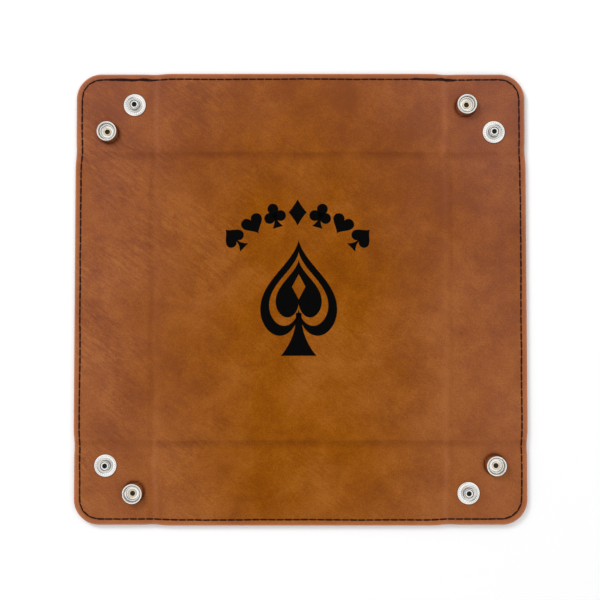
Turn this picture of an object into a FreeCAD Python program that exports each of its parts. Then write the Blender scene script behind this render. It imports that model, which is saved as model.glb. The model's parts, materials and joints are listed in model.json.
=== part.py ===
import FreeCAD, Part
import math
import os
import Sketcher

# Snap-up catch-all tray in two layers of leatherette, lying flat and unsnapped.
#
# A square floor carries four walls, and each corner square is creased on its diagonal into two
# flaps. Lifting the walls folds the flaps outwards until each pair stands face to face and the
# stud on one flap enters the socket on the other. The floor and the walls hold a stiff board
# between the two sheets; the creases and the flaps do not.
#
# Frame: millimetres, +Z up, origin under the middle of the floor, on the surface it lies on.
# One quarter is drawn at the +X wall and the +X -Y corner, and is turned about Z for the others.

Vector = FreeCAD.Vector
doc = FreeCAD.newDocument("snap_tray")

# ---------------------------------------------------------------- driving dimensions

DIMENSIONS = [
    ("tray_side", 228.6, "side of the flat tray, from wall edge to wall edge"),
    ("floor_side", 146.0, "side of the floor, from crease to crease"),
    ("corner_radius", 12.7, "rounding of the four outer corners"),
    ("flap_inset", 0.75, "how far the flap edges stand inside the wall edges"),
    ("sheet_thick", 1.0, "thickness of each leatherette sheet"),
    ("board_thick", 1.5, "thickness of the stiffener boards"),
    ("board_margin", 5.2, "leather round a board that holds no board"),
    ("ramp_run", 1.5, "width of the slope beside a board"),
    ("ramp_angle", 63.43, "lean of that slope from the vertical, in degrees"),
    ("fold_gap", 0.15, "half the gap between two panels at a crease"),
    ("open_gap", 1.4, "extra gap at the crease beside each stud flap"),
    ("snap_reach", 4.4, "distance between the flap faces when a snap is closed"),
    ("snap_near", 16.2, "snap centre to the nearer tray edge"),
    ("snap_far", 30.0, "snap centre to the further tray edge"),
    ("seam_inset", 2.7, "seam line to the panel's outer edge"),
    ("seam_end", 2.4, "seam end to the crease"),
    ("seam_short", 1.02, "how much a flap's seam stops short of its diagonal; at 1 it ends on it"),
    ("thread_width", 0.6, "width of the sewing thread"),
    ("thread_proud", 0.1, "height of the thread above the leather"),
    ("groove_width", 0.9, "width of the pressed groove the thread lies in"),
    ("groove_depth", 0.3, "depth of that groove"),
    ("rivet_hole", 1.65, "radius of the hole through the leather at a snap"),
    ("spring_open", 40.0, "gap in the socket's wire spring, in degrees"),
]

sheet = doc.addObject("Spreadsheet::Sheet", "dimensions")
for row, (alias, amount, meaning) in enumerate(DIMENSIONS, start=1):
    sheet.set(f"A{row}", alias)
    sheet.set(f"B{row}", str(amount))
    sheet.set(f"C{row}", meaning)
    sheet.setAlias(f"B{row}", alias)
doc.recompute()


def cells(formula):
    """The formula with each alias written the way another object of the document reads it."""
    for alias, _, _ in DIMENSIONS:
        formula = formula.replace(f"<{alias}>", f"dimensions.{alias}")
    return formula


def value(formula):
    """The number that a formula of aliases gives now."""
    for alias, _, _ in DIMENSIONS:
        formula = formula.replace(f"<{alias}>", alias)
    return float(sheet.evalExpression(formula))


# Derived places, as formulas of the driving dimensions.
EDGE = "(<tray_side> / 2)"
FLAP_EDGE = "(<tray_side> / 2 - <flap_inset>)"
CREASE = "(<floor_side> / 2)"
MIDDLE = "(<sheet_thick> + <board_thick> / 2)"
RISE = "(<board_thick> / 2)"
FLAP_TOP = "(2 * <sheet_thick> + <board_thick> / 2)"
# The wall and flap fold meet exactly at rest and when closed only if the flap crease lies this
# far inside the floor crease: the snap's reach and the board's step make up the difference.
FLAP_CREASE = (
    "(<floor_side> / 2 + <board_thick> + <sheet_thick> * 2 - <board_thick> / 2"
    " - sqrt(2) * (2 * <sheet_thick> + <snap_reach> / 2))"
)
ROUND_CENTRE = f"({FLAP_EDGE} - <corner_radius>)"

SIDES = ["right", "front", "left", "back"]
CORNERS = ["front_right", "front_left", "back_left", "back_right"]
QUARTER_TURN = -90

# ---------------------------------------------------------------- drawing helpers


def origin_plane(body, role):
    """One of the three planes of a body's own origin."""
    return next(plane for plane in body.Origin.OriginFeatures if plane.Role == role)


def new_body(label):
    """An empty PartDesign body whose label is the sub-part's name."""
    body = doc.addObject("PartDesign::Body", label)
    body.Label = label
    return body


def fixed(sketch, geometry, end, across, up):
    """Holds one point of a sketch at formulas of the driving dimensions; None leaves that one free."""
    for kind, formula in (("DistanceX", across), ("DistanceY", up)):
        if formula is not None:
            rule = Sketcher.Constraint(kind, -1, 1, geometry, end, value(formula))
            number = sketch.addConstraint(rule)
            sketch.setExpression(f"Constraints[{number}]", cells(formula))


def outline(body, name, corners, role="XY_Plane", height="0"):
    """A closed sketch through corners given as formulas (across, up).

    A corner of four formulas (across, up, centre across, centre up) starts an arc about that
    centre, which ends at the next corner. There the arc's radius settles the coordinate that
    points most nearly at the centre, so only the other one is held.
    """
    sketch = body.newObject("Sketcher::SketchObject", name)
    sketch.AttachmentSupport = (origin_plane(body, role), [""])
    sketch.MapMode = "FlatFace"
    sketch.setExpression("AttachmentOffset.Base.z", cells(height))
    places = [(value(corner[0]), value(corner[1])) for corner in corners]
    ends = []
    for index, corner in enumerate(corners):
        here = places[index]
        there = places[(index + 1) % len(corners)]
        if len(corner) == 2:
            line = Part.LineSegment(Vector(*here, 0), Vector(*there, 0))
            ends.append((sketch.addGeometry(line, False), 1, 2))
        else:
            centre = (value(corner[2]), value(corner[3]))
            circle = Part.Circle(Vector(*centre, 0), Vector(0, 0, 1), math.dist(here, centre))
            start = math.atan2(here[1] - centre[1], here[0] - centre[0])
            stop = math.atan2(there[1] - centre[1], there[0] - centre[0])
            clockwise = math.sin(stop - start) < 0
            angles = (stop, start) if clockwise else (start, stop)
            arc = sketch.addGeometry(Part.ArcOfCircle(circle, *angles), False)
            ends.append((arc, 2, 1) if clockwise else (arc, 1, 2))
    for index, corner in enumerate(corners):
        geometry, first, last = ends[index]
        following, its_first, _ = ends[(index + 1) % len(corners)]
        sketch.addConstraint(Sketcher.Constraint("Coincident", geometry, last, following, its_first))
        across, up = corner[0], corner[1]
        if len(corners[index - 1]) == 4:
            before = corners[index - 1]
            sideways = abs(places[index][0] - value(before[2]))
            upright = abs(places[index][1] - value(before[3]))
            across, up = (None, up) if sideways > upright else (across, None)
        fixed(sketch, geometry, first, across, up)
        if len(corner) == 4:
            fixed(sketch, geometry, 3, corner[2], corner[3])
    return sketch


def rectangle(low_across, low_up, high_across, high_up):
    """The four corners of an upright rectangle, counter-clockwise."""
    return [
        (low_across, low_up),
        (high_across, low_up),
        (high_across, high_up),
        (low_across, high_up),
    ]


def grown(box, change):
    """A rectangle's four formulas (low across, low up, high across, high up), moved out by change."""
    low_across, low_up, high_across, high_up = box
    return (
        f"({low_across} - {change})",
        f"({low_up} - {change})",
        f"({high_across} + {change})",
        f"({high_up} + {change})",
    )


def pad(body, sketch, length, upwards=True, narrowing=None):
    """Adds the sketch's area, thickened by length, up or down."""
    feature = body.newObject("PartDesign::Pad", f"{sketch.Name}_pad")
    feature.Profile = sketch
    feature.Reversed = not upwards
    feature.setExpression("Length", cells(length))
    if narrowing:
        feature.setExpression("TaperAngle", cells(f"-{narrowing}"))
    sketch.Visibility = False
    doc.recompute()
    return feature


def pocket(body, sketch, length, upwards=True):
    """Cuts the sketch's area away over length, up or down, and makes sure that it did cut."""
    before = body.Shape.Volume
    feature = body.newObject("PartDesign::Pocket", f"{sketch.Name}_cut")
    feature.Profile = sketch
    feature.Reversed = upwards
    feature.setExpression("Length", cells(length))
    doc.recompute()
    if body.Shape.Volume >= before:
        raise RuntimeError(f"{feature.Label} removed nothing")
    return feature


def turned(label, section, degrees="360"):
    """A body of revolution about its own Z axis, from a section of numbers (radius, height)."""
    body = new_body(label)
    corners = [(str(radius), str(height)) for radius, height in section]
    sketch = outline(body, f"{label}_section", corners, role="XZ_Plane")
    feature = body.newObject("PartDesign::Revolution", f"{label}_turn")
    feature.Profile = sketch
    feature.ReferenceAxis = (sketch, ["V_Axis"])
    feature.setExpression("Angle", cells(degrees))
    doc.recompute()
    return body


def turn_to_quarter(body, quarter, place=Vector(0, 0, 0)):
    """Moves a piece to its place in the first quarter, then turns it about Z to its own quarter."""
    turn = FreeCAD.Rotation(Vector(0, 0, 1), QUARTER_TURN * quarter)
    body.Placement = FreeCAD.Placement(turn.multVec(place), turn)
    return body


# ---------------------------------------------------------------- leather panels with a board


def sheet_over_board(label, panel, board, upper):
    """The face or the back sheet of a panel: a flat border, and a raised middle over the board."""
    body = new_body(label)
    border = outline(body, f"{label}_border", rectangle(*panel), height=MIDDLE)
    pad(body, border, "<sheet_thick>", upwards=upper)
    surface = f"{MIDDLE} + <sheet_thick>" if upper else f"{MIDDLE} - <sheet_thick>"
    raised = outline(
        body, f"{label}_raised", rectangle(*grown(board, "<ramp_run>")), height=surface
    )
    pad(body, raised, RISE, upwards=upper, narrowing="<ramp_angle>")
    seat = outline(body, f"{label}_seat", rectangle(*board), height=MIDDLE)
    pocket(body, seat, RISE, upwards=upper)
    return body


def stiffener(label, board):
    """The stiff board between the two sheets."""
    body = new_body(label)
    area = outline(body, f"{label}_area", rectangle(*board), height="<sheet_thick>")
    pad(body, area, "<board_thick>")
    return body


def seam(label, corners_of, upper_face):
    """Sewing thread lying in its pressed groove; corners_of gives a strip's outline for a width."""
    body = new_body(label)
    bed = f"{upper_face} - <groove_depth>"
    strip = outline(body, f"{label}_strip", corners_of("<thread_width> / 2"), height=bed)
    pad(body, strip, "<groove_depth> + <thread_proud>")
    return body


def groove(body, label, corners_of, upper_face):
    """The pressed groove for a seam, cut down from a sheet's upper face."""
    strip = outline(
        body, f"{label}_groove", corners_of("<groove_width> / 2"), height=upper_face
    )
    pocket(body, strip, "<groove_depth>", upwards=False)


def build_floor():
    """The square floor: face sheet, board and back sheet."""
    reach = f"({CREASE} - <fold_gap>)"
    panel = (f"(-{reach})", f"(-{reach})", reach, reach)
    board = grown(panel, "(-<board_margin>)")
    return [
        sheet_over_board("floor_face", panel, board, upper=True),
        sheet_over_board("floor_back", panel, board, upper=False),
        stiffener("floor_board", board),
    ]


def build_wall(quarter):
    """One wall: face sheet with its seam, board and back sheet."""
    side = SIDES[quarter]
    low, high = f"(-({FLAP_CREASE} - <fold_gap>))", f"({FLAP_CREASE} - <open_gap>)"
    panel = (f"({CREASE} + <fold_gap>)", low, EDGE, high)
    board = grown(panel, "(-<board_margin>)")
    seam_line = f"({EDGE} - <seam_inset>)"

    def along_edge(half):
        return rectangle(
            f"({seam_line} - {half})",
            f"({low} + <seam_end>)",
            f"({seam_line} + {half})",
            f"({high} - <seam_end>)",
        )

    face = sheet_over_board(f"{side}_wall_face", panel, board, upper=True)
    groove(face, f"{side}_wall", along_edge, FLAP_TOP)
    pieces = [
        face,
        sheet_over_board(f"{side}_wall_back", panel, board, upper=False),
        stiffener(f"{side}_wall_board", board),
        seam(f"{side}_wall_stitching", along_edge, FLAP_TOP),
    ]
    return [turn_to_quarter(piece, quarter) for piece in pieces]


# ---------------------------------------------------------------- corner flaps

SLANT = "(<fold_gap> * sqrt(2))"
HALF_ROOT = "(1 / sqrt(2))"


def mirrored(corners):
    """Corners reflected in the corner's diagonal, so a socket flap's outline becomes a stud flap's."""
    swapped = []
    for corner in corners:
        centre = (f"(-{corner[3]})", f"(-{corner[2]})") if len(corner) == 4 else ()
        swapped.append((f"(-{corner[1]})", f"(-{corner[0]})") + centre)
    return swapped


def flap_outline():
    """The socket flap from above: crease side, outer edge, half of the round corner, diagonal."""
    inner, crease = f"({CREASE} + <fold_gap>)", f"({FLAP_CREASE} + <fold_gap>)"
    return [
        (inner, f"(-({inner} - {SLANT}))"),
        (inner, f"(-{crease})"),
        (FLAP_EDGE, f"(-{crease})"),
        (FLAP_EDGE, f"(-{ROUND_CENTRE})", ROUND_CENTRE, f"(-{ROUND_CENTRE})"),
        (
            f"({ROUND_CENTRE} + <corner_radius> * {HALF_ROOT} + {SLANT} / 2)",
            f"(-({ROUND_CENTRE} + <corner_radius> * {HALF_ROOT} - {SLANT} / 2))",
        ),
    ]


def flap_seam(half):
    """A strip of that half width along a flap's outer edge and round its half of the corner."""
    line = f"({FLAP_EDGE} - <seam_inset>)"
    start = f"(-({FLAP_CREASE} + <seam_end>))"
    radius = "(<corner_radius> - <seam_inset>)"
    end = f"({HALF_ROOT} * <seam_short>)"
    centre = (ROUND_CENTRE, f"(-{ROUND_CENTRE})")
    shift = f"({radius} + {half})", f"({radius} - {half})"
    return [
        (f"({line} + {half})", start),
        (f"({line} + {half})", centre[1], *centre),
        (
            f"({ROUND_CENTRE} + {shift[0]} * {end})",
            f"(-({ROUND_CENTRE} + {shift[0]} * sqrt(1 - {end} * {end})))",
        ),
        (
            f"({ROUND_CENTRE} + {shift[1]} * {end})",
            f"(-({ROUND_CENTRE} + {shift[1]} * sqrt(1 - {end} * {end})))",
            *centre,
        ),
        (f"({line} - {half})", centre[1]),
        (f"({line} - {half})", start),
    ]


def disc(body, name, across, up, radius, height):
    """A round sketch of one circle."""
    sketch = body.newObject("Sketcher::SketchObject", name)
    sketch.AttachmentSupport = (origin_plane(body, "XY_Plane"), [""])
    sketch.MapMode = "FlatFace"
    sketch.setExpression("AttachmentOffset.Base.z", cells(height))
    middle = Vector(value(across), value(up), 0)
    circle = sketch.addGeometry(Part.Circle(middle, Vector(0, 0, 1), value(radius)), False)
    fixed(sketch, circle, 3, across, up)
    size = sketch.addConstraint(Sketcher.Constraint("Radius", circle, value(radius)))
    sketch.setExpression(f"Constraints[{size}]", cells(radius))
    return sketch


def flap_sheet(label, corners, seam_of, snap_at, upper):
    """The face or back sheet of a flap, with its rivet hole and, on the face, its seam groove."""
    body = new_body(label)
    area = outline(body, f"{label}_area", corners, height=MIDDLE)
    pad(body, area, "<sheet_thick>", upwards=upper)
    hole = disc(body, f"{label}_hole", *snap_at, "<rivet_hole>", MIDDLE)
    pocket(body, hole, "<sheet_thick>", upwards=upper)
    if upper:
        groove(body, label, seam_of, FLAP_TOP)
    return body


# Sections of the snap pieces: (radius, height above the flap's upper face).
SOCKET = [
    (1.65, 0.0), (3.2, 0.0), (4.4, 0.9), (4.8, 1.9), (5.05, 2.8), (4.95, 3.3), (4.6, 3.5),
    (4.2, 3.4), (3.7, 3.05), (3.5, 2.7), (3.9, 2.55), (4.3, 2.45), (4.2, 1.7), (3.95, 1.2),
    (2.95, 0.4), (1.65, 0.4),
]  # fmt: skip
SPRING = [(3.1, 1.55), (3.85, 1.55), (3.85, 2.3), (3.1, 2.3)]
CAP = [
    (0.0, -2.75), (5.3, -2.75), (5.8, -2.45), (5.9, -2.0), (1.6, -2.0), (1.6, 0.45), (2.0, 0.5),
    (2.15, 0.75), (1.8, 0.95), (1.35, 0.9), (1.1, 0.6), (1.1, -2.3), (0.0, -2.3),
]  # fmt: skip
STUD = [
    (1.65, 0.0), (5.5, 0.0), (5.7, 0.2), (5.7, 0.5), (5.4, 0.7), (4.0, 0.7), (3.45, 0.5),
    (3.1, 0.7), (2.8, 1.0), (2.6, 1.6), (2.65, 2.1), (2.8, 2.5), (2.6, 3.0), (2.35, 3.0),
    (2.25, 2.6), (2.25, 0.45), (1.65, 0.45),
]  # fmt: skip
POST = [
    (1.1, -2.75), (4.6, -2.75), (4.9, -2.45), (4.9, -2.0), (1.6, -2.0), (1.6, 1.9), (1.95, 2.0),
    (2.1, 2.3), (1.85, 2.6), (1.4, 2.55), (1.1, 2.2),
]  # fmt: skip


def two_solids(label, first, second):
    """One named piece that holds two separate solids which are never taken apart."""
    pair = doc.addObject("Part::Compound", label)
    pair.Label = label
    pair.Links = [first, second]
    doc.recompute()
    return pair


def build_corner(quarter):
    """The two flaps of one corner, and the snap that joins them."""
    corner = CORNERS[quarter]
    nearer, further = f"({EDGE} - <snap_near>)", f"({EDGE} - <snap_far>)"
    socket_at = (nearer, f"(-{further})")
    stud_at = (further, f"(-{nearer})")
    flap_top = value(FLAP_TOP)
    pieces = []
    for kind, corners, seam_of, snap_at in (
        ("socket", flap_outline(), flap_seam, socket_at),
        ("stud", mirrored(flap_outline()), lambda half: mirrored(flap_seam(half)), stud_at),
    ):
        flap = f"{corner}_{kind}_flap"
        pieces.append(flap_sheet(f"{flap}_face", corners, seam_of, snap_at, upper=True))
        pieces.append(flap_sheet(f"{flap}_back", corners, seam_of, snap_at, upper=False))
        pieces.append(seam(f"{flap}_stitching", seam_of, FLAP_TOP))
    for piece in pieces:
        turn_to_quarter(piece, quarter)
    cup = turned(f"{corner}_socket_cup", SOCKET)
    spring = turned(f"{corner}_socket_wire", SPRING, "360 - <spring_open>")
    socket = two_solids(f"{corner}_socket", cup, spring)
    socket_place = Vector(value(socket_at[0]), value(socket_at[1]), flap_top)
    stud_place = Vector(value(stud_at[0]), value(stud_at[1]), flap_top)
    for piece in (socket, turned(f"{corner}_socket_cap", CAP)):
        pieces.append(turn_to_quarter(piece, quarter, socket_place))
    for label, section in ((f"{corner}_stud", STUD), (f"{corner}_stud_post", POST)):
        pieces.append(turn_to_quarter(turned(label, section), quarter, stud_place))
    return pieces


# ---------------------------------------------------------------- build, check and export

parts = build_floor()
for quarter_number in range(4):
    parts += build_wall(quarter_number)
for quarter_number in range(4):
    parts += build_corner(quarter_number)
doc.recompute()

for thing in doc.Objects:
    if "Invalid" in thing.State or "Error" in thing.State:
        raise RuntimeError(f"{thing.Label} did not compute: {thing.State}")
for part in parts:
    if part.Shape.isNull() or not part.Shape.isValid():
        raise RuntimeError(f"{part.Label} has no valid shape")

os.makedirs("parts", exist_ok=True)
for part in parts:
    part.Shape.exportStep(os.path.join("parts", f"{part.Label}.step"))

box = Part.makeCompound([part.Shape for part in parts]).BoundBox
volume = sum(part.Shape.Volume for part in parts)
print(f"{len(parts)} pieces, {box.XLength:.2f} x {box.YLength:.2f} x {box.ZLength:.2f} mm, {volume:.0f} mm3")
print(f"flap crease at {value(FLAP_CREASE):.3f} mm, wall crease at {value(CREASE):.3f} mm")
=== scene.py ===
# %% [markdown]
# # A snap-up dice tray in tan leatherette
# The tray lies flat and unsnapped. Two sheets of leatherette are glued and sewn together round five thin
# boards. The leather between the boards is free to bend, so the four walls fold up, and the creased
# corners are held by press studs, each in two halves.
#
# The CAD frame comes first. It holds every part at its true size and place, and each Blender piece below
# is made round it, so the main sizes and places are read from the frame and not typed in again.
# %% Load the frame
import json
import math

import bpy
import numpy as np
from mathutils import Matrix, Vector


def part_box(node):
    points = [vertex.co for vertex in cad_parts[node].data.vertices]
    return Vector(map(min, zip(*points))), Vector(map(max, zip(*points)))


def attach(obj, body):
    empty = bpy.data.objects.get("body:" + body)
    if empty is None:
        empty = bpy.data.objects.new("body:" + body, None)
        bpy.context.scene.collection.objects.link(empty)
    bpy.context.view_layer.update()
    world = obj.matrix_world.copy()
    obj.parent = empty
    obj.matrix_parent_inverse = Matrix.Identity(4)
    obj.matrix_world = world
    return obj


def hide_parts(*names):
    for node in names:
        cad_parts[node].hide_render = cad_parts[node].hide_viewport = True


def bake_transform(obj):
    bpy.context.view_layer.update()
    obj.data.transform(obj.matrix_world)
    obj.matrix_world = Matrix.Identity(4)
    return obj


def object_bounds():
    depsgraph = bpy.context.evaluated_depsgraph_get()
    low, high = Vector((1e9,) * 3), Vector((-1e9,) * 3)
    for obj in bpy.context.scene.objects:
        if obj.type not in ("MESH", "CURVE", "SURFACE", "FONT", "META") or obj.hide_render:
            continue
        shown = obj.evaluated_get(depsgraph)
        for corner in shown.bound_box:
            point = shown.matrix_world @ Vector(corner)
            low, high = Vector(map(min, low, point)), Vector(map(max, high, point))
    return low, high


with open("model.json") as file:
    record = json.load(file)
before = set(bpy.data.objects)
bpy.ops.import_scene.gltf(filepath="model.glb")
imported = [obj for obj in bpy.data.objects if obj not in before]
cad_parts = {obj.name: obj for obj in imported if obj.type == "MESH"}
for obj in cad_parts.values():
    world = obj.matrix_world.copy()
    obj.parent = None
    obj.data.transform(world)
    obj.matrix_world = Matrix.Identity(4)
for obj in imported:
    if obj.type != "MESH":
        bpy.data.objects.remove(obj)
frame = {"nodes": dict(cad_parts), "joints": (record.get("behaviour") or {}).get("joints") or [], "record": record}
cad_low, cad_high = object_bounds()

print("CAD box in metres:", [round(v, 5) for v in (*cad_low, *cad_high)])

# %% [markdown]
# ## Sizes read from the frame
# The arrays below are in millimetres, which are easier to think in for leather and thread, and one helper
# puts them into a mesh in metres. The creases are where the CAD hinges are, and the leather's heights are
# those of the CAD sheets.
# %% Sizes
MM = 0.001
joints = {j["name"]: j for j in frame["joints"]}


def millimetres(metres):
    """A length in metres as millimetres, rounded to a micrometre."""
    return round(metres / MM, 3)


EDGE = millimetres(cad_high.x)
FLAP_EDGE = millimetres(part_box("front_right_socket_flap_face")[1].x)
CREASE = millimetres(joints["right_wall_fold"]["pos_m"][0])
FLAP_CREASE = -millimetres(joints["front_right_socket_flap_fold"]["pos_m"][1])
PANEL_TOP = millimetres(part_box("floor_face")[1].z)
FLAP_LOW = millimetres(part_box("front_right_socket_flap_back")[0].z)
SHEET = 1.0
FLAP_TOP = FLAP_LOW + 2 * SHEET
CORNER_RADIUS = 12.7
FLAP_REACH = (EDGE + FLAP_EDGE) / 2
ROUND_CENTRE = FLAP_REACH - CORNER_RADIUS
SIDES = ["right", "front", "left", "back"]
CORNERS = ["front_right", "front_left", "back_left", "back_right"]


def middle(node):
    """The middle of a CAD node's box seen from above, in millimetres."""
    low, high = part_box(node)
    return np.array([(low.x + high.x) / 2, (low.y + high.y) / 2]) / MM


SOCKETS = np.array([middle(f"{corner}_socket") for corner in CORNERS])
STUDS = np.array([middle(f"{corner}_stud") for corner in CORNERS])
print("edge", EDGE, "flap edge", FLAP_EDGE, "crease", CREASE, "flap crease", FLAP_CREASE)
print("first socket at", SOCKETS[0].round(2), "and first stud at", STUDS[0].round(2))

# %% [markdown]
# ## Helpers for surfaces
# Nearly everything here is a grid of points, rows one way and columns the other. Whole arrays are worked
# out at once and put into a mesh in one call. The tray has four like quarters, so a piece is worked out
# for the first quarter, which is the right wall and the front right corner, and turned to the others.
# %% Curves and grids
def smooth(start, end, value):
    """0 before start, 1 after end, and 3t^2 - 2t^3 in between, which has no kink at either end."""
    t = np.clip((value - start) / (end - start), 0, 1)
    return t * t * (3 - 2 * t)


def bell(value, centre, width):
    """A bell shape: e to the power of minus the square of the distance from centre over width."""
    return np.exp(-(((value - centre) / width) ** 2))


def drift(along, pitch, seed):
    """A slow wander between about -1 and 1: four sines of seeded phase, the longest wave pitch long."""
    phases = np.random.default_rng(seed).uniform(0, 2 * np.pi, 4)
    rates = (1, 1.7, 2.9, 4.3)
    usual_peak = 1.7
    waves = [np.sin(2 * np.pi * along * rate / pitch + phase) / rate for rate, phase in zip(rates, phases)]
    return sum(waves) / usual_peak


def turned(points, quarter):
    """Points turned clockwise about Z by quarter turns: each takes (x, y) to (y, -x)."""
    points = np.array(points, float)
    for _ in range(quarter % 4):
        points = np.concatenate([points[..., 1:2], -points[..., 0:1], points[..., 2:]], -1)
    return points


def ruled(*stretches):
    """Grid lines along an axis. Each stretch is (start, end, step), divided evenly in steps of about step."""
    lines = [np.linspace(a, b, max(1, math.ceil(abs(b - a) / step)) + 1) for a, b, step in stretches]
    return np.concatenate([lines[0]] + [line[1:] for line in lines[1:]])


def quads_of(rows, columns, close_rows=False, close_columns=False):
    """Four-sided faces that join each grid point to the next one in its row and in its column."""
    here = np.arange(rows * columns).reshape(rows, columns)
    down, right = np.roll(here, -1, 0), np.roll(here, -1, 1)
    faces = np.stack([here, down, np.roll(down, -1, 1), right], -1)
    faces = faces if close_rows else faces[:-1]
    faces = faces if close_columns else faces[:, :-1]
    return faces.reshape(-1, 4)


print("a quarter turn takes (1, 0, 0) to", turned([1, 0, 0], 1))

# %% Putting arrays into a mesh
def make_piece(name, points, faces, *finishes):
    """A new object from points in millimetres and faces, shaded smooth, with its materials."""
    mesh = bpy.data.meshes.new(name)
    mesh.from_pydata((np.reshape(points, (-1, 3)) * MM).tolist(), [], [list(face) for face in faces])
    mesh.polygons.foreach_set("use_smooth", np.ones(len(mesh.polygons), bool))
    for finish in finishes:
        mesh.materials.append(finish)
    piece = bpy.data.objects.new(name, mesh)
    bpy.context.scene.collection.objects.link(piece)
    return piece


def add_node(tree, kind, inputs=(), **settings):
    """A shader node with its settings. Each input is a value, or a socket that is linked to it."""
    node = tree.nodes.new(kind)
    for name, value in settings.items():
        setattr(node, name, value)
    for name, value in dict(inputs).items():
        if isinstance(value, bpy.types.NodeSocket):
            tree.links.new(value, node.inputs[name])
        else:
            node.inputs[name].default_value = value
    return node


def new_finish(name):
    """An empty node material, its tree, its surface shader and the piece's own place in millimetres."""
    finish = bpy.data.materials.new(name)
    finish.use_nodes = True
    tree = finish.node_tree
    shader = tree.nodes["Principled BSDF"]
    place = add_node(tree, "ShaderNodeTexCoord").outputs["Object"]
    place = add_node(tree, "ShaderNodeVectorMath", {0: place, "Scale": 1 / MM}, operation="SCALE").outputs[0]
    return finish, tree, shader, place


def noise(tree, place, scale, detail=3.0, roughness=0.5, distortion=0.0):
    """The grey cloud of a noise texture, its scale in waves a millimetre."""
    settings = {"Vector": place, "Scale": scale, "Detail": detail, "Roughness": roughness,
                "Distortion": distortion}
    return add_node(tree, "ShaderNodeTexNoise", settings).outputs[0]


def maths(tree, operation, first, second=0.0, third=0.0):
    """One step of arithmetic on two or three numbers or sockets."""
    return add_node(tree, "ShaderNodeMath", {0: first, 1: second, 2: third}, operation=operation).outputs[0]


def vector_maths(tree, operation, first, second=(0, 0, 0)):
    """One step of arithmetic on vectors; a length or a dot product comes out as a number."""
    node = add_node(tree, "ShaderNodeVectorMath", {0: first, 1: second}, operation=operation)
    return node.outputs["Value" if operation in ("LENGTH", "DOT_PRODUCT") else "Vector"]


def spread(tree, value, low, high, to_low=0.0, to_high=1.0, curve="LINEAR"):
    """A value stretched from low..high to to_low..to_high, held at both ends."""
    settings = {"Value": value, "From Min": low, "From Max": high, "To Min": to_low, "To Max": to_high}
    return add_node(tree, "ShaderNodeMapRange", settings, interpolation_type=curve).outputs[0]


def mixed(tree, share, first, second, blend="MIX"):
    """Two colours mixed by share."""
    node = add_node(tree, "ShaderNodeMix", data_type="RGBA", blend_type=blend)
    for index, value in ((0, share), (6, first), (7, second)):
        if isinstance(value, bpy.types.NodeSocket):
            tree.links.new(value, node.inputs[index])
        else:
            node.inputs[index].default_value = value
    return node.outputs[2]


def raised(tree, height, depth, below=None):
    """A bump of that depth in metres from a height of 0 to 1, added to the bump below it."""
    node = add_node(tree, "ShaderNodeBump", {"Height": height, "Distance": depth, "Strength": 1.0})
    if below is not None:
        tree.links.new(below, node.inputs["Normal"])
    return node.outputs[0]


print("helpers ready")

# %% [markdown]
# ## The leatherette's finish
# The skin is a smooth tan plastic film printed with a soft cloudy pattern, reddish brown in the darker
# blotches, then embossed with a very fine grain. Along some stretches the sheet has been bent in the hand,
# which leaves close slanting wrinkles. One noise gives the clouds, one the blotches and one the specks, and
# a stretched one the wrinkles. Their sum, in shares, is lowered a little towards the back as painted shade
# and read as one of three tints, and a faint cool painted sheen grows over it towards the sides and the
# back. Grain and wrinkles are bumps as well. A painted value on the mesh says where the film is worn pale by
# rubbing and given a painted sheen along an edge, where a painted highlight lies on a crease's ridge, and
# where painted shade lies in a crease and as a painted contact shadow round each socket, because those
# follow the sheet and not a pattern.
# %% Leatherette finish
# Each noise is its scale in waves a millimetre, its detail, its roughness and its distortion.
CLOUDS = (0.021, 4.0, 0.58, 0.5)
BLOTCHES = (0.075, 5.0, 0.62, 0.3)
SPECKS = (1.5, 3.0, 0.7)
WRINKLES = (1.0, 3.0, 0.6, 0.9)
HANDLING = (0.022, 2.0)
PORES = (0.5, 5.0, 0.65)
CLOUD_SHARE, BLOTCH_SHARE, SPECK_SHARE, CRINKLE_SHARE = 0.50, 0.60, 0.80, 0.50
TO_THE_BACK = (0.12, 0.99, 0)
WRINKLE_TURN = math.radians(38)
WRINKLE_STRETCH = (0.13, 0.66, 0.3)
PEBBLE_SCALE = 1.9


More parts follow.
